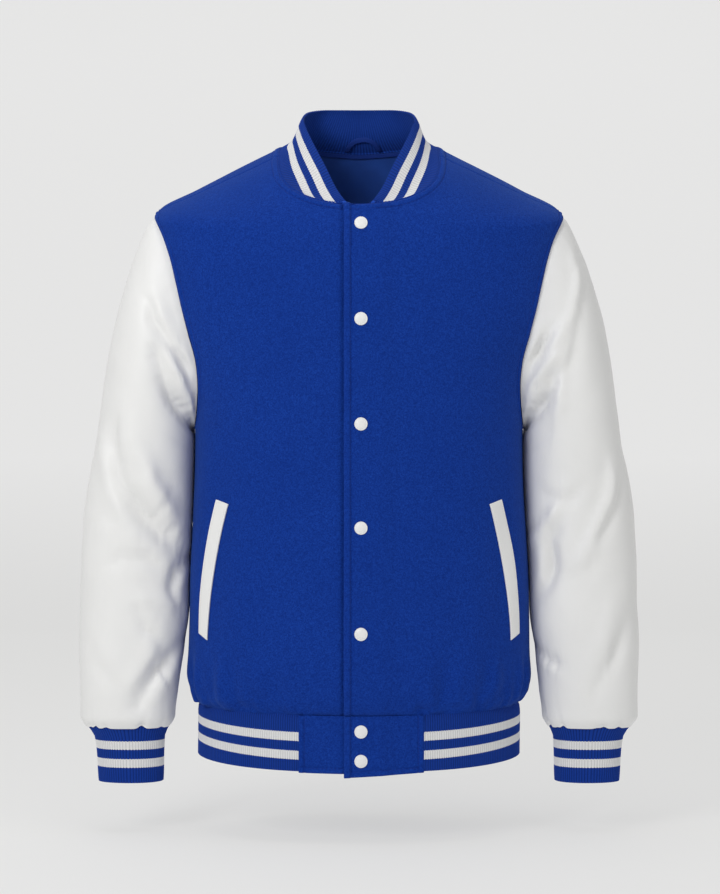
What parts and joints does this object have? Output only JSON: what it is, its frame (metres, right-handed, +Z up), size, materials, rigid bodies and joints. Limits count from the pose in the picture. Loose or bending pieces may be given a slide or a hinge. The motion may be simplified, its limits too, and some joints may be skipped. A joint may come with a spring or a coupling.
{
  "type": "varsity jacket",
  "caption": "Varsity jacket with a wool body, smooth leather sleeves and striped rib-knit collar, cuffs and hem, snap-fastened and filled out as if worn.",
  "frame": {"origin": "between the two neck points, at the height where the shoulder line meets the collar, where the wearer's shoulders carry it", "axes": "+Z up, -Y the way the front faces, +X towards the wearer's left side"},
  "size_m": [0.6394, 0.2466, 0.7821],
  "materials": {
    "wool_melton": "matt, short-napped wool melton",
    "rib_knit": "matt rib knit with two white stripes",
    "smooth_leather": "smooth white leather with a soft sheen",
    "lining_satin": "dark blue satin with a soft sheen",
    "woven_tape": "matt woven tape",
    "snap_cap": "white enamelled snap cap, half matt"
  },
  "bodies": {
    "root": {"front_left": "wool_melton", "front_right": "wool_melton", "back": "wool_melton", "sleeve_left": "smooth_leather", "sleeve_right": "smooth_leather", "cuff_left": "rib_knit", "cuff_right": "rib_knit", "collar_rib": "rib_knit", "hem_rib": "rib_knit", "hem_tab_left": "wool_melton", "hem_tab_right": "wool_melton", "pocket_welt_left": "smooth_leather", "pocket_welt_right": "smooth_leather", "snap_1": "snap_cap", "snap_2": "snap_cap", "snap_3": "snap_cap", "snap_4": "snap_cap", "snap_5": "snap_cap", "snap_6": "snap_cap", "snap_7": "snap_cap", "neck_tape": "woven_tape", "back_lining": "lining_satin", "hanger_loop": "woven_tape"}
  },
  "joints": []
}
